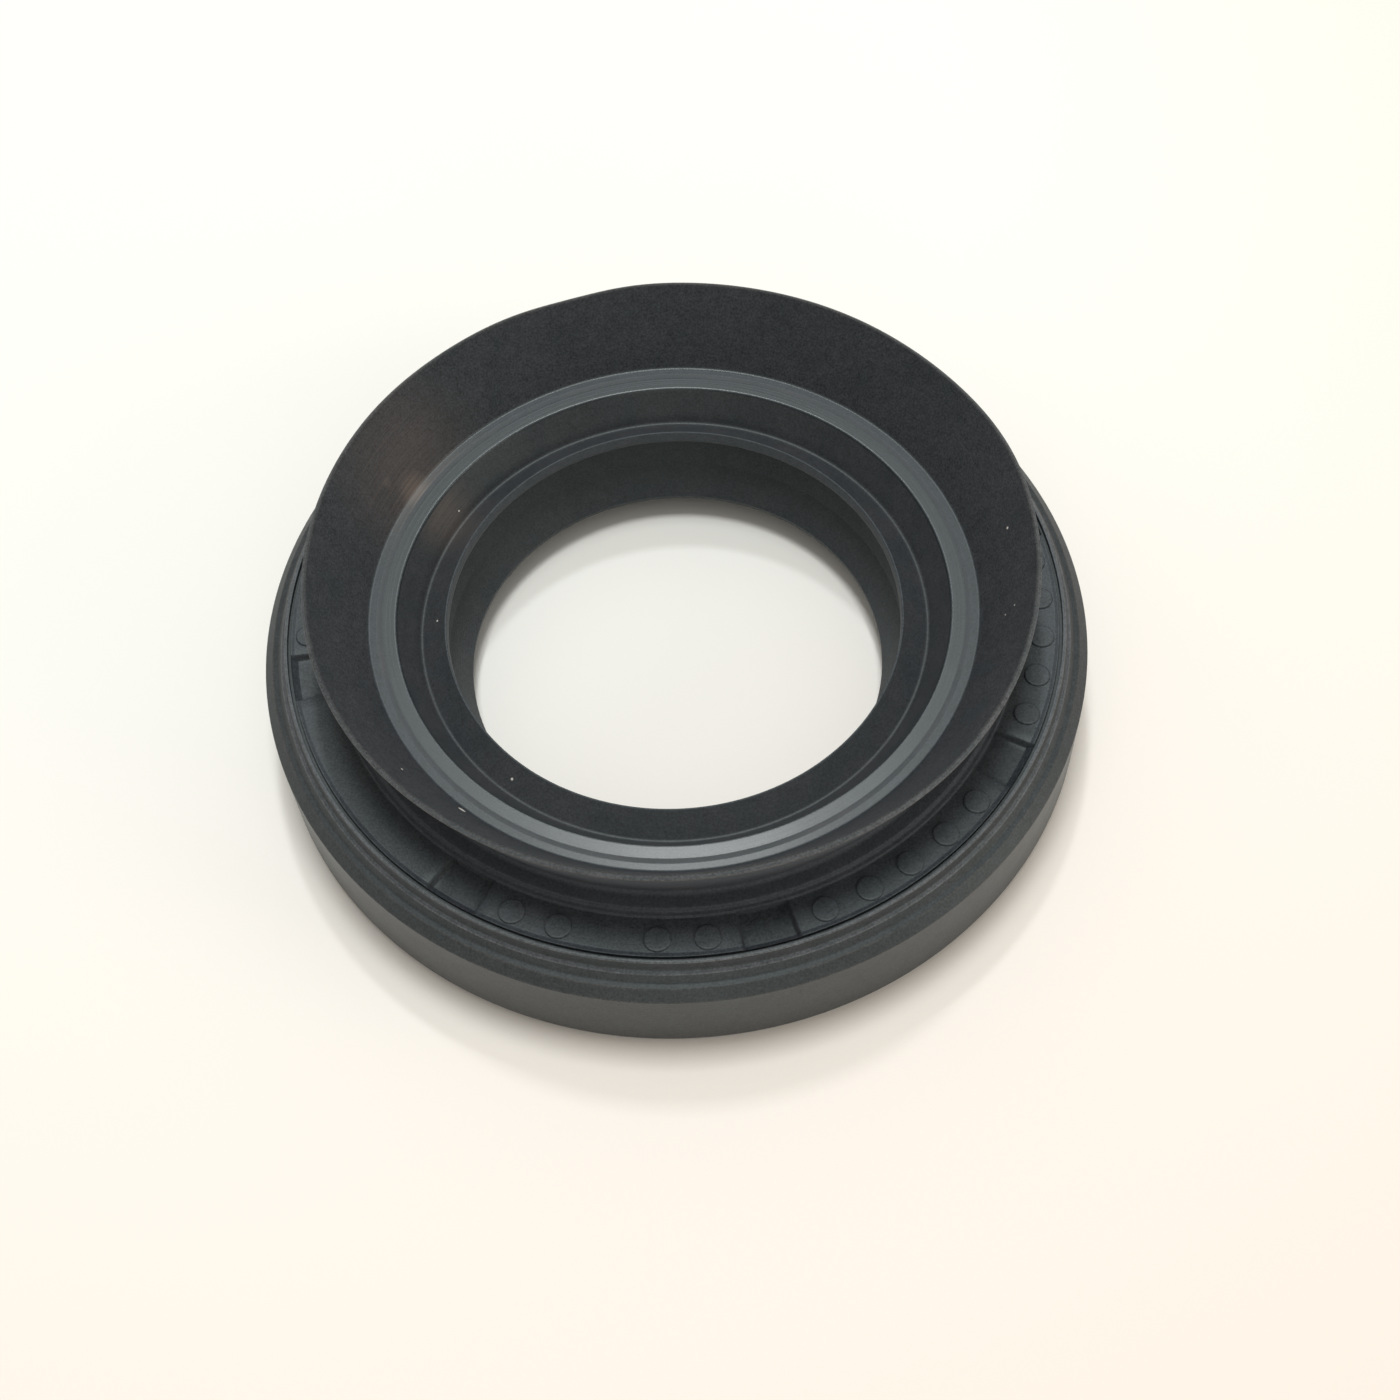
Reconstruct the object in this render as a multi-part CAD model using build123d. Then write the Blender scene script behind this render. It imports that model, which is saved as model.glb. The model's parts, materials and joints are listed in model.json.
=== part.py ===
from build123d import *
import math
import os

# A radial shaft seal: one moulded rubber body, bonded round a pressed steel case, with a garter
# spring in a groove behind its sealing lip. The axis is Z. Z = 0 is the oil-side face, which the seal
# stands on, and the air side, with the flared side lip, is up. Millimetres and degrees.

os.makedirs("parts", exist_ok=True)

# The sizes that a seal is ordered by
shaft_diameter = 32.0
housing_diameter = 60.0
body_width = 9.05  # oil-side face to the crest of the air-side rim
side_lip_height = 6.7  # crest to the edge of the flared side lip

# Outside diameter and air-side rim, measured inwards from the housing bore
lead_in_depth = 0.35
lead_in_height = 0.8
shoulder_height = 2.4  # top of the press-fit land to the crest
shoulder_steps = [(0.65, 0.73), (0.43, 0.12), (0.32, 0.53), (0.29, 0.19)]  # (in, up) from the land
rim_width = 2.05  # housing bore to the fine groove inside the crest
crest_width = 0.25
groove_width = 0.22
groove_depth = 0.45

# Face ring inside the rim: long pads, parted by short pockets, with round bosses on the pads
pad_drop = 0.15  # below the crest
pad_border_width = 0.25
pad_border_height = 0.15
pocket_depth = 0.65  # below the crest
pocket_wall_run = 0.45  # how far the pocket's outer wall leans in
pocket_angle = 8.0
pocket_count = 8
near_pockets = 5  # these stand one pitch apart, and the others share the rest of the circle
near_pitch = 46.2
first_pocket = -172.3
boss_count = 5  # places on each pad
boss_pitch = 7.2
boss_diameter = 1.85
boss_height = 0.15
boss_inset = 3.55  # housing bore to the bosses' circle
bare_places = {0: (0, 1, 2, 3, 4), 1: (2,)}  # pads, from the first pocket on, and their places left out

# Side lip and its foot, measured outwards from the shaft
side_lip_reach = 9.5  # shaft to the middle of the lip's edge
side_lip_edge = 0.4
side_lip_root = 1.25
side_lip_fillet = 0.3
ledge_reach = 8.87
ledge_width = 0.4
ledge_step = 0.3
seat_reach = 6.0  # shaft to the outside of the flat ring inside the side lip
seat_width = 2.0
seat_rise = 0.85  # above the crest
seat_fall = 0.05  # the ring leans this much towards the shaft
seat_line_reach = 5.2  # shaft to the middle of the fine line round the ring
seat_line_width = 0.32
seat_line_depth = 0.02

# Dust lip
throat_reach = 2.48
throat_depth = 1.68  # foot of the inner wall, below the crest
dust_lip_gap = 0.3  # between the dust lip and the shaft
dust_lip_depth = 0.77  # its edge, below the crest
dust_lip_edge = 0.54  # width of its edge face
dust_lip_bevel = 39.0  # its edge face, above the horizontal
dust_lip_round = 0.12

# Sealing lip
lip_interference = 0.65
lip_height = 2.05
contact_band = 0.3
barrel_angle = 33.7  # air side of the lip, from the axis
barrel_height = 2.25
hinge_reach = 1.75  # shaft to the notch between the two lips
hinge_depth = 2.6  # below the crest
hinge_round = 0.25
membrane_thickness = 1.3
membrane_fillet = 0.9
oil_angle = 45.0  # oil side of the lip, from the axis
nose_height = 0.75
head_reach = 2.75  # sealing edge to the back of the lip's head
nose_round = 0.35
head_round = 0.3

# Garter spring, a close-wound coil whose ends are joined
coil_diameter = 1.7
spring_reach = 2.25  # sealing edge to the coil's middle
spring_rise = 0.7  # coil's middle above the lower end of the contact band
spring_clearance = 0.02

# Steel case and the rubber that covers it
case_thickness = 1.0
case_bend = 1.6
case_foot = 0.9
flange_reach = 4.7  # shaft to the inner edge of the flange
outer_cover = 1.3
inner_cover = 0.5
face_cover = 0.8  # between a pocket's floor and the flange
ceiling_cover = 0.4
cavity_draft = 0.3  # the cavity opens by this much towards the oil side
cavity_fillet = 0.5
pin_mark_count = 6
pin_mark_diameter = 1.6
pin_mark_reach = 8.0  # shaft to the circle of the mould's locating pins

# Places that several features share
shaft_r = shaft_diameter / 2
outer_r = housing_diameter / 2
lip_r = shaft_r - lip_interference
groove_r = outer_r - rim_width
field_r = groove_r - groove_width
ledge_r = shaft_r + ledge_reach
seat_r = shaft_r + seat_reach
pad_z = body_width - pad_drop
floor_z = body_width - pocket_depth
flange_top = floor_z - face_cover
flange_bottom = flange_top - case_thickness
ceiling_z = flange_bottom - ceiling_cover
case_r = outer_r - outer_cover
cavity_r = case_r - case_thickness - inner_cover
spring_r = lip_r + spring_reach
spring_z = lip_height + spring_rise


def polar(distance, angle):
    """A step of this length, at this angle above the horizontal, in the section."""
    return Vector(distance * math.cos(math.radians(angle)), distance * math.sin(math.radians(angle)))


def turned(corners, arc=360.0):
    """The solid swept by a closed section. Each corner is (radius, height, rounding)."""
    points = [(r, 0, z) for r, z, _ in corners]
    outline = FilletPolyline(*points, radius=[rounding for _, _, rounding in corners], close=True)
    return revolve(make_face(outline), Axis.Z, revolution_arc=arc)


def rim_section():
    """Oil-side face, press-fit land and stepped shoulder, up to the groove inside the crest."""
    corners = [
        (cavity_r + cavity_draft, 0, 0),
        (outer_r - lead_in_depth, 0, 0),
        (outer_r, lead_in_height, 0),
    ]
    r, z = outer_r, body_width - shoulder_height
    corners.append((r, z, 0))
    for step_in, step_up in shoulder_steps:
        r, z = r - step_in, z + step_up
        corners.append((r, z, 0))
    corners += [
        (groove_r + crest_width, body_width, 0),
        (groove_r, body_width, 0),
        (groove_r, body_width - groove_depth, 0),
        (field_r, body_width - groove_depth, 0),
    ]
    return corners


def face_section():
    """Raised border and face of the pads, and the two ledges at the foot of the side lip."""
    border_z = pad_z + pad_border_height
    return [
        (field_r, border_z, 0),
        (field_r - pad_border_width, border_z, 0),
        (field_r - pad_border_width, pad_z, 0),
        (ledge_r, pad_z, 0),
        (ledge_r, body_width, 0),
        (ledge_r - ledge_width, body_width, 0),
        (ledge_r - ledge_width, body_width + ledge_step, 0),
    ]


def side_lip_section():
    """The flared side lip: a straight wall that thins towards its square-cut edge."""
    foot = Vector(seat_r, body_width + seat_rise)
    edge = Vector(shaft_r + side_lip_reach, body_width + side_lip_height)
    lean = math.degrees(math.atan2(edge.Y - foot.Y, edge.X - foot.X))
    inner = edge + polar(side_lip_edge / 2, lean + 90)
    inner = Vector(inner.X, edge.Y)
    outer = inner + polar(side_lip_edge, lean - 90)
    root = foot + polar(side_lip_root, lean - 90)
    ledge_z = body_width + ledge_step
    run = (outer.X - root.X) / (outer.Y - root.Y)
    return [
        (root.X + run * (ledge_z - root.Y), ledge_z, side_lip_fillet),
        (outer.X, outer.Y, 0),
        (inner.X, inner.Y, 0),
        (foot.X, foot.Y, 0),
    ]


def lips_section():
    """Flat ring with its fine line, inner wall, dust lip and the air side of the sealing lip."""
    seat_z = body_width + seat_rise
    line_r = shaft_r + seat_line_reach
    line_z = seat_z - seat_fall * (seat_r - line_r) / seat_width
    edge = Vector(shaft_r + dust_lip_gap, body_width - dust_lip_depth)
    crest = edge + polar(dust_lip_edge, dust_lip_bevel)
    band_top = lip_height + contact_band
    barrel_run = barrel_height * math.tan(math.radians(barrel_angle))
    return [
        (line_r + seat_line_width / 2, line_z, 0),
        (line_r, line_z - seat_line_depth, 0),
        (line_r - seat_line_width / 2, line_z, 0),
        (seat_r - seat_width, seat_z - seat_fall, 0),
        (shaft_r + throat_reach, body_width - throat_depth, 0),
        (crest.X, crest.Y, dust_lip_round),
        (edge.X, edge.Y, 0),
        (shaft_r + hinge_reach, body_width - hinge_depth, hinge_round),
        (lip_r + barrel_run, band_top + barrel_height, 0),
        (lip_r, band_top, 0),
    ]


def oil_side_section():
    """Oil side of the sealing lip, its head, the membrane that carries it, and the cavity."""
    barrel_r = lip_r + barrel_height * math.tan(math.radians(barrel_angle))
    barrel_z = lip_height + contact_band + barrel_height
    hinge = Vector(shaft_r + hinge_reach, body_width - hinge_depth)
    lean = math.degrees(math.atan2(hinge.Y - barrel_z, hinge.X - barrel_r))
    back = Vector(barrel_r, barrel_z) + polar(membrane_thickness, lean - 90)
    slope = math.tan(math.radians(lean))
    head_r = lip_r + head_reach
    oil_run = (lip_height - nose_height) * math.tan(math.radians(oil_angle))
    return [
        (lip_r, lip_height, 0),
        (lip_r + oil_run, nose_height, nose_round),
        (head_r, nose_height, nose_round),
        (head_r, back.Y + (head_r - back.X) * slope, head_round),
        (back.X + (ceiling_z - back.Y) / slope, ceiling_z, membrane_fillet),
        (cavity_r, ceiling_z, cavity_fillet),
    ]


def case_section():
    """Pressed case: a cylinder with one end turned in as a flange, bent on a radius."""
    return [
        (case_r, case_foot, 0),
        (case_r, flange_top, case_bend),
        (shaft_r + flange_reach, flange_top, 0),
        (shaft_r + flange_reach, flange_bottom, 0),
        (case_r - case_thickness, flange_bottom, case_bend - case_thickness),
        (case_r - case_thickness, case_foot, 0),
    ]


def pocket_angles():
    """Middles of the pockets, round the axis from +X."""
    near = [first_pocket + near_pitch * i for i in range(near_pockets)]
    far_count = pocket_count - near_pockets
    far_pitch = (360 - near_pitch * (near_pockets - 1)) / (far_count + 1)
    return near + [near[-1] + far_pitch * (i + 1) for i in range(far_count)]


def pocket_cutter():
    """One pocket, centred on +X, with its outer wall leaning in towards its floor."""
    clear_z = body_width + ledge_step
    section = [
        (ledge_r, floor_z, 0),
        (field_r - pocket_wall_run, floor_z, 0),
        (field_r, body_width - groove_depth, 0),
        (field_r, clear_z, 0),
        (ledge_r, clear_z, 0),
    ]
    return Rot(0, 0, -pocket_angle / 2) * turned(section, pocket_angle)


def bosses(angles):
    """The round bosses, evenly spaced about the middle of each pad, but for the places left bare."""
    ends = angles[1:] + [angles[0] + 360]
    size = {"radius": boss_diameter / 2, "height": 2 * boss_height}
    boss = Pos(outer_r - boss_inset, 0, pad_z) * Cylinder(**size)
    made = []
    for pad, (start, end) in enumerate(zip(angles, ends)):
        places = [i for i in range(boss_count) if i not in bare_places.get(pad, ())]
        offsets = [boss_pitch * (i - (boss_count - 1) / 2) for i in places]
        made += [Rot(0, 0, (start + end) / 2 + offset) * boss for offset in offsets]
    return made


def pin_marks():
    """Blind holes through the cavity's roof, where the mould's pins held the case."""
    depth = flange_bottom - ceiling_z
    mark = Pos(shaft_r + pin_mark_reach, 0, ceiling_z + depth / 2)
    mark *= Cylinder(radius=pin_mark_diameter / 2, height=depth)
    return [Rot(0, 0, 360 * i / pin_mark_count) * mark for i in range(pin_mark_count)]


# The case is pressed from strip, and the rubber is moulded on to it
steel_case = turned(case_section())

# The spring is a tube of touching turns, so its solid is the ring that they fill
coil_centre = Plane(origin=(spring_r, 0, spring_z), x_dir=(1, 0, 0), z_dir=(0, -1, 0))
garter_spring = revolve(coil_centre * Circle(coil_diameter / 2), Axis.Z)
spring_groove = revolve(coil_centre * Circle(coil_diameter / 2 + spring_clearance), Axis.Z)

# The rubber body, with the case's own space left inside it
rubber_body = turned(
    rim_section() + face_section() + side_lip_section() + lips_section() + oil_side_section()
)
rubber_body -= spring_groove
angles = pocket_angles()
rubber_body -= [Rot(0, 0, angle) * pocket_cutter() for angle in angles]
rubber_body += bosses(angles)
rubber_body -= pin_marks()
rubber_body -= steel_case

pieces = {"rubber_body": rubber_body, "steel_case": steel_case, "garter_spring": garter_spring}
for name, piece in pieces.items():
    export_step(piece, f"parts/{name}.step")
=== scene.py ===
import json
import math

import bpy
import numpy as np
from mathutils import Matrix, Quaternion, Vector


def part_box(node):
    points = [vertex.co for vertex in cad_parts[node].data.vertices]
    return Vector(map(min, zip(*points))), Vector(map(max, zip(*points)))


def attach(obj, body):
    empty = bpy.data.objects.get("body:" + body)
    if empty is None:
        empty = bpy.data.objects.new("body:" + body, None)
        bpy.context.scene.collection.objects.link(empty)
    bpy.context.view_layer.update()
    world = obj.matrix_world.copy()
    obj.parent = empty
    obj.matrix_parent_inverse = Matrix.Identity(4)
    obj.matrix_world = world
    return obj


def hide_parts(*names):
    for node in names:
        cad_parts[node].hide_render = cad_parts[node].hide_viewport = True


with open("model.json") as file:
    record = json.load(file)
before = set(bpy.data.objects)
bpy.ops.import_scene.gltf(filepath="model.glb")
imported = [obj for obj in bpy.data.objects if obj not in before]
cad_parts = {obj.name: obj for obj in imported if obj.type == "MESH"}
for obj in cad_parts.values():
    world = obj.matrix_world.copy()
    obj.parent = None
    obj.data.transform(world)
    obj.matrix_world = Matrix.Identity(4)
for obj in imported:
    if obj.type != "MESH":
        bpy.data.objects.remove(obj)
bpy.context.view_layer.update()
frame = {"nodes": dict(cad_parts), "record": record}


# ---- Steel case ------------------------------------------------------------------------------------
# A cup pressed from 1 mm strip, with one end turned in as a flange. The rubber is moulded round it, so
# it shows only at the bottom of the six small holes where the mould's pins held it.

# The seal's sizes are in millimetres, and Blender's are in metres.
MM = 0.001


def node(tree, kind, inputs=None, **settings):
    """One shader node; each input is given a plain value or another node's output."""
    made = tree.nodes.new(kind)
    for key, value in settings.items():
        setattr(made, key, value)
    for key, value in (inputs or {}).items():
        if isinstance(value, bpy.types.NodeSocket):
            tree.links.new(value, made.inputs[key])
        else:
            made.inputs[key].default_value = value
    return made


def maths(tree, operation, *values, clamp=False):
    """A Math node's output: the operation on one, two or three values."""
    inputs = dict(enumerate(values))
    return node(tree, "ShaderNodeMath", inputs, operation=operation, use_clamp=clamp).outputs[0]


def blend(tree, factor, first, second):
    """A colour between two, by a factor from 0 to 1."""
    mixed = node(tree, "ShaderNodeMix", data_type="RGBA")
    for index, value in ((0, factor), (6, first), (7, second)):
        if isinstance(value, bpy.types.NodeSocket):
            tree.links.new(value, mixed.inputs[index])
        else:
            mixed.inputs[index].default_value = value
    return mixed.outputs[2]


def new_group(name, inputs, outputs):
    """An empty node group with number inputs, each with its usual value, and number outputs. What comes
    back is its tree, and the sockets inside it of its inputs and of its outputs."""
    tree = bpy.data.node_groups.new(name, "ShaderNodeTree")
    for label, value in inputs.items():
        socket = tree.interface.new_socket(label, in_out="INPUT", socket_type="NodeSocketFloat")
        socket.default_value = value
    for label in outputs:
        tree.interface.new_socket(label, in_out="OUTPUT", socket_type="NodeSocketFloat")
    return tree, tree.nodes.new("NodeGroupInput").outputs, tree.nodes.new("NodeGroupOutput").inputs


def place(tree):
    """Where a point is on the piece, in metres."""
    return node(tree, "ShaderNodeTexCoord").outputs["Object"]


def noise(tree, scale, detail=2.0, vector=None):
    """Cloudy noise about 0.5, with this many patches to the metre."""
    inputs = {"Scale": scale, "Detail": detail, "Vector": vector or place(tree)}
    return node(tree, "ShaderNodeTexNoise", inputs).outputs["Fac"]


def grain_group():
    """Surface grain. Its height, for bump and shade, is 0.8 of a fine noise and 0.2 of one 0.23 times as
    fine. Its patches, for colour and gloss, are a soft noise."""
    tree, given, out = new_group("grain", {"Fine": 9000.0, "Patch": 400.0}, ["Height", "Patches"])
    fine = noise(tree, given["Fine"], 3.0)
    coarse = noise(tree, maths(tree, "MULTIPLY", given["Fine"], 0.23), 1.0)
    height = maths(tree, "MULTIPLY_ADD", fine, 0.8, maths(tree, "MULTIPLY", coarse, 0.2))
    tree.links.new(height, out["Height"])
    tree.links.new(noise(tree, given["Patch"], 2.0), out["Patches"])
    return tree


grain = grain_group()


def new_material(name):
    """A material with a Principled surface: the material, its tree and that shader."""
    material = bpy.data.materials.new(name)
    material.use_nodes = True
    tree = material.node_tree
    tree.nodes.clear()
    shader = tree.nodes.new("ShaderNodeBsdfPrincipled")
    output = tree.nodes.new("ShaderNodeOutputMaterial")
    tree.links.new(shader.outputs[0], output.inputs["Surface"])
    return material, tree, shader


def use_group(tree, group, **inputs):
    """A node group placed in a material: its outputs."""
    return node(tree, "ShaderNodeGroup", inputs, node_tree=group).outputs


def bump(tree, height, depth):
    """The surface normal bent by a height from 0 to 1 that stands for this depth in metres."""
    return node(tree, "ShaderNodeBump", {"Height": height, "Distance": depth, "Strength": 1.0}).outputs[0]


def phosphated_steel():
    """Grey phosphated strip, with darker patches of dried bonding agent."""
    material, tree, shader = new_material("phosphated_steel")
    cover = use_group(tree, grain, Fine=12000.0, Patch=900.0)
    colour = blend(tree, cover["Patches"], (0.10, 0.10, 0.10, 1), (0.30, 0.29, 0.27, 1))
    rough = maths(tree, "MULTIPLY_ADD", cover["Patches"], 0.25, 0.35)
    for label, value in {"Base Color": colour, "Roughness": rough}.items():
        tree.links.new(value, shader.inputs[label])
    tree.links.new(bump(tree, cover["Height"], 0.01 * MM), shader.inputs["Normal"])
    shader.inputs["Metallic"].default_value = 1.0
    return material


case = frame["nodes"]["steel_case"]
case.data.materials.clear()
case.data.materials.append(phosphated_steel())


# ---- Rubber body -----------------------------------------------------------------------------------
# One black rubber moulding: press-fit land, stepped shoulder, face ring with long pads parted by eight
# pockets, flared side lip, flat ring, dust lip and sealing lip. It is bonded to the case as it cures.

# The press-fit land and the sealing edge, as the record's mounts give them
mounts = {mount["name"]: mount for mount in frame["record"]["mounts"]}
outer_r = mounts["housing_land"]["dims"]["r_mm"]
land_length = mounts["housing_land"]["dims"]["length_mm"]
land_foot = mounts["housing_land"]["pos_m"][2] / MM - land_length / 2
land_head = land_foot + land_length
lip_r = mounts["shaft_bore"]["dims"]["r_mm"]
lip_z = mounts["shaft_bore"]["pos_m"][2] / MM

# Heights: the side lip's top, the crest, the groove inside it, the pads, their border, the pockets' floors
# and the flat ring
top_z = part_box("rubber_body")[1].z / MM
crest_z = land_head + 2.4
groove_z = crest_z - 0.37
pad_z = crest_z - 0.15
border_z = pad_z + 0.10
floor_z = crest_z - 0.65
ring_z = 9.90

# Finishes, in the order of the body's material slots
LAND, MOULD, CREST, PAD, FLARE, CUT, OUTSIDE, RIM, LINE, SEAT, THROAT, TRIM, OIL = range(13)

# Radii of the face ring's outer and inner edges, and of the foot of a pocket's sloping outer wall
pad_outer = outer_r - 2.27
pad_inner = 24.87
wall_foot = pad_outer - 0.45

# The section's corners, each as (radius, height, rounding, finish of the corner and of the side after it)
outline = [
    # Oil-side face, lead-in taper and press-fit land
    (27.50, 0.00, 0.10, LAND), (outer_r - 0.35, 0.00, 0.10, LAND), (outer_r, land_foot, 0.20, LAND),
    (outer_r, land_head, 0.12, MOULD),
    # Shoulder: three risers, with a narrow tread above each of the lower two and the crest above the third,
    # and the outer wall of the groove inside the crest
    # The second tread's rounding and flat take the crest's lighter rubber as a painted highlight
    (29.35, 7.38, 0.15, MOULD), (28.92, 7.50, 0.20, MOULD), (28.60, 8.03, 0.12, CREST),
    (28.31, 8.22, 0.12, MOULD), (28.20, crest_z, 0.12, CREST), (27.95, crest_z, 0.06, CREST),
    (27.95, crest_z - 0.12, 0, MOULD), (27.95, groove_z, 0, MOULD),
    # Face ring: raised border, pad, and the two ledges at the foot of the side lip
    (pad_outer, groove_z, 0, PAD), (pad_outer, border_z, 0.04, PAD), (27.42, pad_z, 0.20, PAD),
    (wall_foot + 0.08, pad_z, 0, PAD), (wall_foot, pad_z, 0, PAD), (wall_foot - 0.08, pad_z, 0, PAD),
    (pad_inner, pad_z, 0.07, OUTSIDE), (pad_inner, crest_z, 0.07, OUTSIDE), (24.47, crest_z, 0.14, OUTSIDE),
    (24.47, 9.35, 0.14, OUTSIDE),
    # Flared side lip, and its square-cut edge
    (23.11, 9.35, 0.30, OUTSIDE), (25.671, 15.545, 0.10, CUT), (25.328, top_z, 0.10, FLARE),
    # Flat ring and its fine line, throat, dust lip and the air side of the sealing lip
    (22.00, ring_z, 0.18, RIM), (21.36, 9.884, 0, LINE), (21.18, 9.86, 0.05, LINE), (21.00, 9.876, 0, SEAT),
    (20.00, 9.85, 0.12, SEAT), (19.90, 9.687, 0, THROAT), (18.48, 7.37, 0.22, THROAT),
    (16.52, 8.76, 0.08, TRIM), (16.42, 7.70, 0.50, THROAT), (17.75, 6.45, 0.25, THROAT),
    (16.85, 4.60, 0.30, THROAT), (lip_r, lip_z + 0.15, 0.05, THROAT),
    # Oil side of the sealing lip, the head that holds the spring, the membrane and the cavity
    (lip_r, lip_z - 0.15, 0.05, OIL), (16.65, 0.75, 0.35, OIL), (18.10, 0.75, 0.35, OIL),
    (18.10, 4.197, 0.30, OIL), (19.074, 6.20, 0.90, OIL), (27.20, 6.20, 0.50, OIL),
]


def rounded(outline, arc_step=0.10, guard=0.06):
    """The outline with each corner turned into an arc that touches both its sides.

    For unit vectors a and b along a corner's two sides, half the angle between them is h, so a rounding of
    radius q starts q / tan(h) along each side and is centred q / sin(h) along a + b. From the centre, first
    and last lead to the arc's ends and t is the turn between them, and its points lie at
    (first sin((1 - s) t) + last sin(s t)) / sin(t), as s goes from 0 to 1.
    Each side also gets a point just inside each of its ends, or one in its middle if neither end is rounded,
    to keep the shading of the arcs off the flats. The arrays that come back are the points, the finish of
    each, and +1 on outward and -1 on inward roundings, with 0 elsewhere."""
    spots = np.array([corner[:2] for corner in outline])
    back = np.roll(spots, 1, axis=0) - spots
    ahead = np.roll(spots, -1, axis=0) - spots
    lengths = np.linalg.norm(ahead, axis=1)
    a, b = back / np.linalg.norm(back, axis=1)[:, None], ahead / lengths[:, None]
    half = np.arccos(np.clip((a * b).sum(1), -1, 1)) / 2
    outward = np.sign(b[:, 0] * a[:, 1] - b[:, 1] * a[:, 0])
    rounding = np.array([corner[2] for corner in outline])
    start = rounding / np.tan(half)
    points, finishes, bend = [], [], []
    for i, (_, _, radius, finish) in enumerate(outline):
        if radius:
            middle = spots[i] + (a[i] + b[i]) / np.linalg.norm(a[i] + b[i]) * radius / math.sin(half[i])
            first, last = spots[i] + a[i] * start[i] - middle, spots[i] + b[i] * start[i] - middle
            turn = math.pi - 2 * half[i]
            s = np.linspace(0, 1, max(3, round(turn * radius / arc_step)) + 1)[:, None]
            arc = (np.sin((1 - s) * turn) * first + np.sin(s * turn) * last) / math.sin(turn) + middle
        else:
            arc = spots[i][None]
        following = (i + 1) % len(outline)
        span = lengths[i] - start[i] - start[following]
        inset = min(guard, span / 4)
        along = np.array([inset, span - inset]) if radius or rounding[following] else np.array([span / 2])
        side = arc[-1] + along[:, None] * b[i]
        points += [arc, side]
        finishes += [np.full(len(arc) + len(side), finish)]
        bend += [np.full(len(arc), outward[i] if radius else 0), np.zeros(len(side))]
    return np.concatenate(points), np.concatenate(finishes), np.concatenate(bend)


# Pockets: five a pitch apart, and three that share the rest of the circle. Angles in degrees from +X.
pocket_half = 4.0
near_pitch = 46.2
near = -172.3 + near_pitch * np.arange(5)
far = near[-1] + (360 - 4 * near_pitch) / 4 * np.arange(1, 4)
pockets = np.concatenate([near, far])
# A pocket's end wall: distances into the pocket from its end, along a circle of radius wall_r, and the
# share of the fall by there
wall_r = 26.0
wall_run = np.array([-0.12, -0.06, 0.00, 0.08, 0.14, 0.20])
wall_fall = np.array([0.0, 0.04, 0.18, 0.82, 0.96, 1.0])


def azimuths(floor_points=8, pad_points=22):
    """Angles of the body's sections, close together at the pockets' end walls, and how far each is let
    down into a pocket, from 0 on the pads to 1 on the pockets' floors. Each floor and pad is divided evenly
    by this many points, of which the two at its ends give way to the end walls' own."""
    turn = np.degrees(wall_run / wall_r)
    starts, ends = pockets - pocket_half, pockets + pocket_half
    nexts = np.append(starts[1:], starts[0] + 360)
    angles, depths = [], []
    for start, end, following in zip(starts, ends, nexts):
        floor = np.linspace(start, end, floor_points)[1:-1]
        pad = np.linspace(end, following, pad_points)[1:-1]
        angles += [start + turn, floor, end - turn[::-1], pad]
        depths += [wall_fall, np.ones(len(floor)), wall_fall[::-1], np.zeros(len(pad))]
    return np.radians(np.concatenate(angles)), np.concatenate(depths)


def skin(name, grid, tube=True):
    """A mesh of quads over grids of points: copies by rows by columns by xyz, in millimetres. The rows close
    up. A tube's columns close up too, and otherwise each end ring is closed by a flat face."""
    grid = grid.reshape((-1,) + grid.shape[-3:])
    index = np.arange(grid[..., 0].size).reshape(grid.shape[:3])
    row = np.concatenate([index, index[:, :, :1]], axis=2) if tube else index
    next_row = np.roll(row, -1, axis=1)
    quads = np.stack([row[..., :-1], next_row[..., :-1], next_row[..., 1:], row[..., 1:]], axis=-1)
    faces = quads.reshape(-1, 4).tolist()
    if not tube:
        faces += index[:, ::-1, 0].tolist() + index[:, :, -1].tolist()
    mesh = bpy.data.meshes.new(name)
    mesh.from_pydata((grid.reshape(-1, 3) * MM).tolist(), [], faces)
    mesh.shade_smooth()
    piece = bpy.data.objects.new(name, mesh)
    bpy.context.scene.collection.objects.link(piece)
    return piece


# The side lip's edge out of round: its waves, as (times round, reach, phase in radians), and where it has
# taken a set, as (middle in degrees, how far out or in, spread in degrees)
lip_waves = [(2, 0.07, 0.6), (3, 0.04, 2.0), (7, 0.025, 0.0)]
lip_sets = [(104, -0.30, 9), (18, 0.32, 16), (142, 0.08, 12)]


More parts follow.
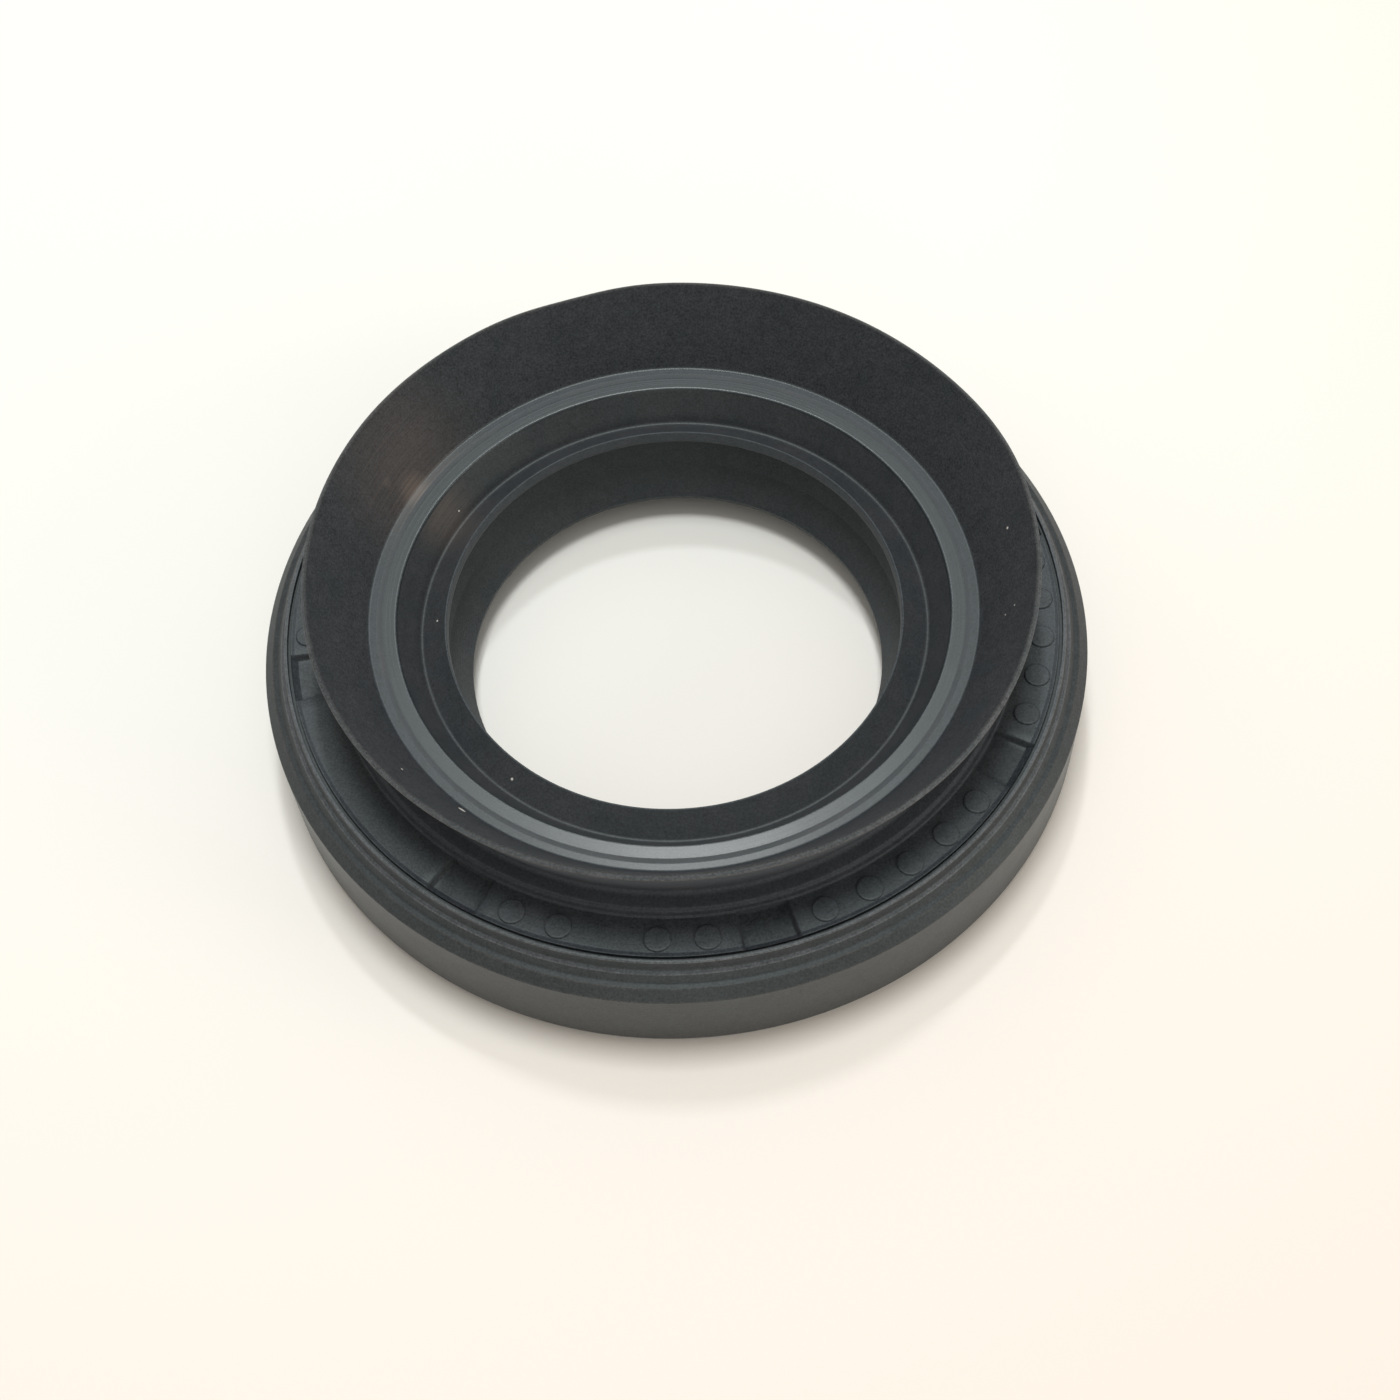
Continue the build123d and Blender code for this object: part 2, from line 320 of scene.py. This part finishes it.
def rubber_section():
    """The rubber body's grid: the outline carried round the axis, let down where a pocket crosses the face
    ring, and with the side lip's edge a little out of round.

    In a pocket, a point of the face ring falls to the floor, which slopes up to the groove from wall_foot
    outwards. The radius changes by the sum of the waves, reach * cos(times * angle + phase), and of the
    sets, reach * exp(-(apart / spread) ** 2), times the share of the height above the flat ring to the
    power 1.5."""
    points, finish, bend = rounded(outline)
    angles, depth = azimuths()
    r, z = points.T
    # The face ring goes down into a pocket with most of the rounding at its inner edge. The floor keeps a
    # trace of the ring's own heights, so that no two of its points meet.
    slack = 0.01
    rounding_part = 0.06
    trace = 0.02
    in_face = (r > pad_inner - slack) & (r < pad_outer + slack) & (z > pad_z - slack)
    in_face &= z < np.where(r > wall_foot, border_z + slack, pad_z + rounding_part)
    pocket_z = np.interp(r, [wall_foot, pad_outer], [floor_z, groove_z]) + trace * (z - pad_z)
    fall = np.where(in_face, z - pocket_z, 0)
    z = z[None] - depth[:, None] * fall[None]
    on_lip = np.clip((points[:, 1] - ring_z) / (top_z - ring_z), 0, 1) ** 1.5
    wave = sum(reach * np.cos(times * angles + phase) for times, reach, phase in lip_waves)
    for middle, reach, spread in lip_sets:
        apart = (np.degrees(angles) - middle + 180) % 360 - 180
        wave += reach * np.exp(-((apart / spread) ** 2))
    r = r[None] + wave[:, None] * on_lip[None]
    turned = np.stack([r * np.cos(angles)[:, None], r * np.sin(angles)[:, None], z], axis=-1)
    return turned, finish, bend


def studs(spots, outline, count=32):
    """Round pegs at spots (x, y), each an outline of (radius, height) carried round its own axis in count
    steps."""
    around = np.linspace(0, 2 * math.pi, count, endpoint=False)[:, None]
    r, z = np.array(outline).T
    peg = np.stack([r * np.cos(around), r * np.sin(around), z + 0 * around], axis=-1)
    return peg[None] + np.array([(x, y, 0) for x, y in spots])[:, None, None]


def combine(piece, tool, operation):
    """The piece with a tool's shape joined on or cut away, made final."""
    cut = piece.modifiers.new(operation, "BOOLEAN")
    cut.operation, cut.object, cut.solver = operation, tool, "EXACT"
    bpy.context.view_layer.update()
    made = bpy.data.meshes.new_from_object(piece.evaluated_get(bpy.context.evaluated_depsgraph_get()))
    piece.modifiers.clear()
    piece.data = made
    bpy.data.objects.remove(tool)


grid, finish, bend = rubber_section()
rubber = skin("rubber_body_moulded", grid)
arris = rubber.data.attributes.new("arris", "FLOAT", "POINT")
arris.data.foreach_set("value", np.tile(bend, len(grid)).astype(np.float32))

# Bosses: low round studs on one circle round the pads, boss_pitch degrees apart on each. The first pad has
# none and the second lacks its middle one.
boss_pitch = 7.2
bosses_a_pad = 5
boss_ring_r = 26.45
boss_r = 0.925
boss_top = pad_z + 0.13
boss_root = pad_z - 0.2
boss_edge = 0.08
boss_arc = 0.3 * boss_edge
nexts = np.append(pockets[1:], pockets[0] + 360)
steps = np.arange(bosses_a_pad) - bosses_a_pad // 2
boss_places = ((pockets + nexts) / 2)[:, None] + boss_pitch * steps
present = np.ones(boss_places.shape, bool)
present[0] = False
present[1, bosses_a_pad // 2] = False
boss_angles = np.radians(boss_places[present])
boss_spots = boss_ring_r * np.stack([np.cos(boss_angles), np.sin(boss_angles)], axis=-1)
# A boss's side, its edge rounded through the middle of the arc, and two rings on its top
boss_outline = [
    (boss_r, boss_root), (boss_r, boss_top - boss_edge), (boss_r - boss_arc, boss_top - boss_arc),
    (boss_r - boss_edge, boss_top), (boss_r - 2 * boss_edge, boss_top), (boss_r - 3 * boss_edge, boss_top),
]
boss_arris = np.array([0, 0, 1, 0, 0, 0], np.float32)
bosses = skin("bosses", studs(boss_spots, boss_outline), tube=False)
arris = bosses.data.attributes.new("arris", "FLOAT", "POINT")
arris.data.foreach_set("value", np.tile(boss_arris, len(bosses.data.vertices) // len(boss_arris)))

# Holes that the mould's pins leave in the cavity's roof, up to the case
pin_count = 6
pin_ring_r = 24.0
pin_r = 0.8
pin_foot = 5.9
pin_head = 6.62
pin_angles = np.radians(360 / pin_count * np.arange(pin_count))
pin_spots = pin_ring_r * np.stack([np.cos(pin_angles), np.sin(pin_angles)], axis=-1)
pins = skin("pins", studs(pin_spots, [(pin_r, pin_foot), (pin_r, pin_head)]), tube=False)


def rings_group():
    """Fine lines round the axis, as a turned mould leaves them: noise that changes fast with the distance
    from the axis plus the height, and slowly along the line."""
    tree, given, out = new_group("rings", {"Lines": 9000.0, "Run": 60.0}, ["Height"])
    spot = place(tree)
    flat = node(tree, "ShaderNodeVectorMath", {0: spot, 1: (1, 1, 0)}, operation="MULTIPLY").outputs[0]
    reach = node(tree, "ShaderNodeVectorMath", {0: flat}, operation="LENGTH").outputs["Value"]
    parts = node(tree, "ShaderNodeSeparateXYZ", {0: spot}).outputs
    across = maths(tree, "MULTIPLY", maths(tree, "ADD", reach, parts["Z"]), given["Lines"])
    vector = node(tree, "ShaderNodeCombineXYZ", {
        "X": across,
        "Y": maths(tree, "MULTIPLY", parts["X"], given["Run"]),
        "Z": maths(tree, "MULTIPLY", parts["Y"], given["Run"]),
    }).outputs[0]
    tree.links.new(noise(tree, 1.0, 2.0, vector), out["Height"])
    return tree


def specks_group():
    """Chalky specks: a spot round the middle point of a few of the cells that space is divided into."""
    tree, given, out = new_group("specks", {"Cells": 700.0, "Size": 0.12, "Chance": 0.03}, ["Mask"])
    cell = node(tree, "ShaderNodeTexVoronoi", {"Vector": place(tree), "Scale": given["Cells"]}).outputs
    pick = node(tree, "ShaderNodeSeparateColor", {0: cell["Color"]}).outputs[0]
    chosen = maths(tree, "LESS_THAN", pick, given["Chance"])
    near_middle = maths(tree, "LESS_THAN", cell["Distance"], given["Size"])
    tree.links.new(maths(tree, "MULTIPLY", chosen, near_middle), out["Mask"])
    return tree


def marks_group(name, highlight_spots, dots):
    """Painted highlights that fade out from their middles, and sharp pale dots for real nicks. Each is a spot
    (x, y, z) with its half width in millimetres; a highlight has a strength too."""
    tree, _, out = new_group(name, {}, ["Smear", "Dot"])

    def near(spot, half, sharp, strength):
        """A mask that is strength within half * sharp of the spot, and fades to 0 at half."""
        centre = tuple(value * MM for value in spot)
        away = node(tree, "ShaderNodeVectorMath", {0: place(tree), 1: centre}, operation="DISTANCE")
        inputs = {"Value": away.outputs["Value"], "To Max": strength}
        inputs.update({"From Min": half * MM, "From Max": half * MM * sharp})
        return node(tree, "ShaderNodeMapRange", inputs, interpolation_type="SMOOTHSTEP").outputs["Result"]

    highlight_mask = dot = 0.0
    for x, y, z, half, strength in highlight_spots:
        highlight_mask = maths(tree, "MAXIMUM", near((x, y, z), half, 0.0, strength), highlight_mask)
    for x, y, z, half in dots:
        dot = maths(tree, "MAXIMUM", near((x, y, z), half, 0.6, 1.0), dot)
    tree.links.new(highlight_mask, out["Smear"])
    tree.links.new(dot, out["Dot"])
    return tree


rings = rings_group()
specks = specks_group()
# Painted highlights near 148 degrees from +X, on the side lip, the flat ring's rim and the throat, stand for
# a warm lamp highlight along the turned lines; the dots are real pale nicks.
flare_nicks_and_highlights = marks_group(
    "flare_nicks_and_highlights",
    highlight_spots=[(-19.00, 12.60, 11.60, 9.0, 0.42), (-18.80, 11.75, 10.20, 2.8, 1.0),
            (-20.37, 10.99, 11.92, 1.0, 0.7)],
    dots=[(-15.20, -16.42, 10.62, 0.33), (-18.92, -14.27, 12.88, 0.12), (24.07, 1.58, 13.47, 0.12),
          (23.53, -5.14, 13.56, 0.09)])
throat_nicks_and_highlights = marks_group(
    "throat_nicks_and_highlights",
    highlight_spots=[(-16.58, 10.04, 8.83, 4.0, 0.55)],
    dots=[(-12.05, -12.81, 8.00, 0.12), (-15.60, 10.82, 8.20, 0.09)])

chalk = (0.55, 0.53, 0.50, 1)
# The warm colour of the painted highlights
painted_highlight_brown = (0.150, 0.120, 0.105, 1)
pale_nick = (0.55, 0.54, 0.52, 1)
bloom = (1.24, 1.14, 1.14)
cool_gloss = (0.86, 0.98, 1.0, 1)
coat_rough = 0.2


def nitrile(name, colour, rough, worn=None, depth=0.018, lines=0.3, dust=0.003, shine=0.5, coat=0.0,
            marks=None, mottle=1.0):
    """Black rubber: grain and turned lines in its bump, patches with a slight bloom in its colour and
    gloss, outward corners rubbed to the worn colour, and a few chalky specks. depth is the bump's in
    millimetres, lines is the turned lines' share of it, and mottle is how much the grain shades the
    colour."""
    material, tree, shader = new_material(name)
    cover = use_group(tree, grain, Fine=6500.0, Patch=350.0)
    # Both noises lie about 0.5, and contrast spreads them about it
    contrast = 2.6
    patch = maths(tree, "MULTIPLY_ADD", cover["Patches"], contrast, 0.5 - contrast / 2, clamp=True)
    shade = maths(tree, "MULTIPLY_ADD", cover["Height"], contrast * mottle, 1 - contrast / 2 * mottle)
    line = use_group(tree, rings, Lines=7000.0, Run=60.0)["Height"]
    speck = use_group(tree, specks, Chance=dust)["Mask"]
    corner = node(tree, "ShaderNodeAttribute", attribute_name="arris").outputs["Fac"]
    rubbed = maths(tree, "MULTIPLY", maths(tree, "MAXIMUM", corner, 0.0), cover["Patches"], clamp=True)
    bloomed = tuple(part * gain for part, gain in zip(colour, bloom)) + (1,)
    base = blend(tree, rubbed, blend(tree, patch, colour, bloomed), worn or colour)
    base = node(tree, "ShaderNodeVectorMath", {0: base, "Scale": shade}, operation="SCALE").outputs[0]
    base = blend(tree, speck, base, chalk)
    if marks:
        mark = use_group(tree, marks)
        # Painted highlight: under its mask the colour turns warm and lighter, in streaks along the turned
        # lines
        highlight_streak = maths(tree, "MULTIPLY_ADD", line, 1.6, -0.1, clamp=True)
        base = blend(tree, maths(tree, "MULTIPLY", mark["Smear"], highlight_streak), base, painted_highlight_brown)
        base = blend(tree, mark["Dot"], base, pale_nick)
    spread = 0.12
    gloss = maths(tree, "MULTIPLY_ADD", cover["Patches"], spread, rough - spread / 2)
    height = maths(tree, "MULTIPLY_ADD", line, lines, maths(tree, "MULTIPLY", cover["Height"], 1 - lines))
    tree.links.new(base, shader.inputs["Base Color"])
    tree.links.new(gloss, shader.inputs["Roughness"])
    tree.links.new(bump(tree, height, depth * MM), shader.inputs["Normal"])
    shader.inputs["Specular IOR Level"].default_value = shine
    shader.inputs["Specular Tint"].default_value = cool_gloss
    shader.inputs["Coat Weight"].default_value = coat
    shader.inputs["Coat Roughness"].default_value = coat_rough
    return material


finishes = {
    LAND: nitrile("pressed_land", (0.027, 0.030, 0.032, 1), 0.42, worn=(0.05, 0.05, 0.05, 1)),
    MOULD: nitrile("moulded_rubber", (0.022, 0.027, 0.031, 1), 0.50, worn=(0.05, 0.05, 0.05, 1)),
    # Lighter rubber on the crest; on the second tread it is a painted highlight
    CREST: nitrile("crest_rubber_tread_highlight", (0.048, 0.056, 0.065, 1), 0.50, worn=(0.10, 0.11, 0.12, 1)),
    PAD: nitrile("pad_rubber", (0.032, 0.039, 0.046, 1), 0.47, shine=0.42),
    FLARE: nitrile("side_lip_rubber", (0.031, 0.036, 0.042, 1), 0.72, worn=(0.05, 0.05, 0.05, 1),
                   shine=0.27, marks=flare_nicks_and_highlights),
    CUT: nitrile("cut_edge", (0.052, 0.060, 0.068, 1), 0.60, worn=(0.08, 0.08, 0.08, 1), shine=0.4),
    # Painted light: the side lip's outside and the ledges below it lie in shade, and their lighter colour
    # lifts that shade
    OUTSIDE: nitrile("lip_outside_lifted_shade", (0.051, 0.060, 0.071, 1), 0.68,
                     depth=0.008, dust=0.0, shine=0.28, mottle=0.6),
    RIM: nitrile("ring_rim", (0.019, 0.025, 0.031, 1), 0.50, worn=(0.06, 0.07, 0.08, 1),
                 depth=0.010, lines=0.85, coat=0.15, marks=flare_nicks_and_highlights),
    # Painted sheen: the matte line is lighter than the ring's rubber, in place of the sheen the ring reflects
    LINE: nitrile("ring_line_painted_sheen", (0.068, 0.080, 0.088, 1), 0.75, depth=0.006, shine=0.2, mottle=0.2),
    SEAT: nitrile("burnished_ring", (0.012, 0.017, 0.021, 1), 0.43, worn=(0.05, 0.06, 0.07, 1),
                  depth=0.012, lines=0.85, coat=0.22),
    THROAT: nitrile("lip_rubber", (0.030, 0.035, 0.040, 1), 0.50, shine=0.43, marks=throat_nicks_and_highlights, mottle=0.7),
    # Painted light: the dust lip's edge face is lighter than the throat's rubber, for the light it catches
    # from the front
    TRIM: nitrile("dust_lip_edge_painted_light", (0.045, 0.054, 0.063, 1), 0.60, shine=0.35, mottle=0.6),
    OIL: nitrile("oil_side_rubber", (0.025, 0.030, 0.036, 1), 0.50, worn=(0.04, 0.04, 0.04, 1)),
}
for slot in sorted(finishes):
    rubber.data.materials.append(finishes[slot])
bosses.data.materials.append(finishes[PAD])
pins.data.materials.append(finishes[OIL])
rubber.data.polygons.foreach_set("material_index", np.tile(finish, len(grid)).astype(np.int32))
combine(rubber, bosses, "UNION")
combine(rubber, pins, "DIFFERENCE")
sharp_from = 50
rubber.data.set_sharp_from_angle(angle=math.radians(sharp_from))
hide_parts("rubber_body")
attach(rubber, "root")


# ---- Garter spring ---------------------------------------------------------------------------------
# A close-wound coil of steel wire, its ends joined to make a ring. It lies in the groove behind the
# sealing lip and pulls the lip in on the shaft.

# The wire's diameter, and the ring's sizes as the CAD's torus gives them
wire = 0.35
low, high = (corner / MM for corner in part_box("garter_spring"))
coil_r = (high.z - low.z) / 2
coil_z = (high.z + low.z) / 2
coil_path_r = high.y - coil_r


def wound(path_r, middle_z, coil_r, wire, steps=12, sides=7):
    """A wire wound round a ring of radius path_r, with as many turns as lie side by side on its inside.

    At the angle t round the axis, the wire's middle is coil_r less half a wire away from the ring's circle,
    in the direction cos(turns t) outwards and sin(turns t) upwards. The wire's own circle is carried along
    that path, in the plane of that direction and the one along the ring. There are steps points to a turn,
    and sides points round the wire."""
    turns = math.floor(2 * math.pi * (path_r - coil_r) / wire)
    t = np.linspace(0, 2 * math.pi, turns * steps, endpoint=False)[:, None]
    b = np.linspace(0, 2 * math.pi, sides, endpoint=False)[None]
    reach = coil_r - wire / 2
    out = np.concatenate([np.cos(t), np.sin(t), 0 * t], axis=1)
    forward = np.concatenate([-np.sin(t), np.cos(t), 0 * t], axis=1)
    up = np.array([0, 0, 1])
    away = np.cos(turns * t) * out + np.sin(turns * t) * up
    path = path_r * out + middle_z * up + reach * away
    ring = np.cos(b)[..., None] * away[:, None] + np.sin(b)[..., None] * forward[:, None]
    return path[:, None] + wire / 2 * ring


def spring_wire():
    """Bright drawn wire with a thin film of grease."""
    material, tree, shader = new_material("spring_wire")
    cover = use_group(tree, grain, Fine=20000.0, Patch=1500.0)
    colour = blend(tree, cover["Patches"], (0.32, 0.31, 0.29, 1), (0.60, 0.59, 0.56, 1))
    tree.links.new(colour, shader.inputs["Base Color"])
    tree.links.new(maths(tree, "MULTIPLY_ADD", cover["Patches"], 0.2, 0.15), shader.inputs["Roughness"])
    tree.links.new(bump(tree, cover["Height"], 0.002 * MM), shader.inputs["Normal"])
    shader.inputs["Metallic"].default_value = 1.0
    return material


spring = skin("garter_spring_coil", wound(coil_path_r, coil_z, coil_r, wire))
spring.data.materials.append(spring_wire())
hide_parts("garter_spring")
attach(spring, "root")


# ---- Floor, light and camera -----------------------------------------------------------------------
# A sheet of pale card in an even, warm room, under a small lamp and a wide ceiling panel that are both
# overhead and behind, with low panels for a window on the right and a wall in front.

scene = bpy.context.scene
scene.view_settings.view_transform = "Standard"

# Painted light colour: the card is coolest within the near distance of a spot behind the seal and to its
# left, and warmer and darker past the far one, for cool light there and warm light further out. The spot and
# distances are in metres.
cool_spot = (-0.03, 0.06, 0)
cool_near = 0.06
cool_far = 0.14


def pale_card():
    """Nearly white card with a faint tooth, and a painted tint of cool and warm light across it."""
    material, tree, shader = new_material("pale_card")
    cover = use_group(tree, grain, Fine=1500.0, Patch=12.0)
    away = node(tree, "ShaderNodeVectorMath", {0: place(tree), 1: cool_spot}, operation="DISTANCE")
    inputs = {"Value": away.outputs["Value"], "From Min": cool_near, "From Max": cool_far}
    painted_light_warmth = node(tree, "ShaderNodeMapRange", inputs).outputs["Result"]
    colour = blend(tree, cover["Patches"], (0.86, 0.88, 0.865, 1), (0.88, 0.90, 0.89, 1))
    colour = blend(tree, painted_light_warmth, colour, (0.86, 0.78, 0.73, 1))
    tree.links.new(colour, shader.inputs["Base Color"])
    tree.links.new(bump(tree, cover["Height"], 0.02 * MM), shader.inputs["Normal"])
    shader.inputs["Roughness"].default_value = 0.7
    shader.inputs["Specular IOR Level"].default_value = 0.2
    return material


def floor_sheet(half, drop):
    """A square sheet that reaches half out each way from the axis and lies drop below the seal."""
    x = np.array([-1, 1, 1, -1]) * half
    y = np.array([-1, -1, 1, 1]) * half
    mesh = bpy.data.meshes.new("floor")
    mesh.from_pydata(np.stack([x, y, 0 * x - drop], axis=-1).tolist(), [], [(0, 1, 2, 3)])
    sheet = bpy.data.objects.new("floor", mesh)
    scene.collection.objects.link(sheet)
    return sheet


# How far the floor reaches each way and how far it lies below the seal, in metres
floor_half = 3.0
floor_drop = 0.02 * MM
floor = floor_sheet(floor_half, floor_drop)
floor.data.materials.append(pale_card())


def panel(name, spot, size, power, colour):
    """A square soft light at a spot, facing the seal: its place and size in metres and power in watts."""
    light = bpy.data.lights.new(name, "AREA")
    light.size, light.energy, light.color = size, power, colour
    made = bpy.data.objects.new(name, light)
    made.location = spot
    made.rotation_euler = (-made.location).to_track_quat("-Z", "Y").to_euler()
    scene.collection.objects.link(made)
    return made


panel("lamp", (0.00, 0.33, 0.62), 0.05, 0.88, (1.0, 1.0, 1.0))
panel("ceiling", (0.00, 0.10, 0.80), 0.25, 3.30, (1.0, 1.0, 0.965))
panel("window", (0.56, -0.22, 0.20), 0.30, 0.85, (1.0, 0.93, 0.82))
panel("wall", (0.00, -0.60, 0.12), 0.30, 0.38, (1.0, 0.94, 0.86))

world = bpy.data.worlds.new("room")
world.use_nodes = True
room = world.node_tree.nodes["Background"].inputs
room["Color"].default_value = (1.0, 0.925, 0.83, 1)
room["Strength"].default_value = 0.48
scene.world = world

# The camera: where it stands in front and above, the point it looks at, its lens and sensor in
# millimetres, and its roll in degrees
eye_distance, eye_height = 84.37 * MM, 129.68 * MM
aim = (1.48 * MM, -2.43 * MM, 0)
lens, sensor, roll = 52.25, 36, -3.376
camera = bpy.data.objects.new("camera", bpy.data.cameras.new("camera"))
camera.data.lens, camera.data.sensor_width = lens, sensor
camera.data.clip_start = 0.005
camera.location = (0, -eye_distance, eye_height)
look = Vector(aim) - camera.location
camera.rotation_mode = "QUATERNION"
camera.rotation_quaternion = look.to_track_quat("-Z", "Y") @ Quaternion((0, 0, 1), math.radians(roll))
scene.collection.objects.link(camera)
scene.camera = camera
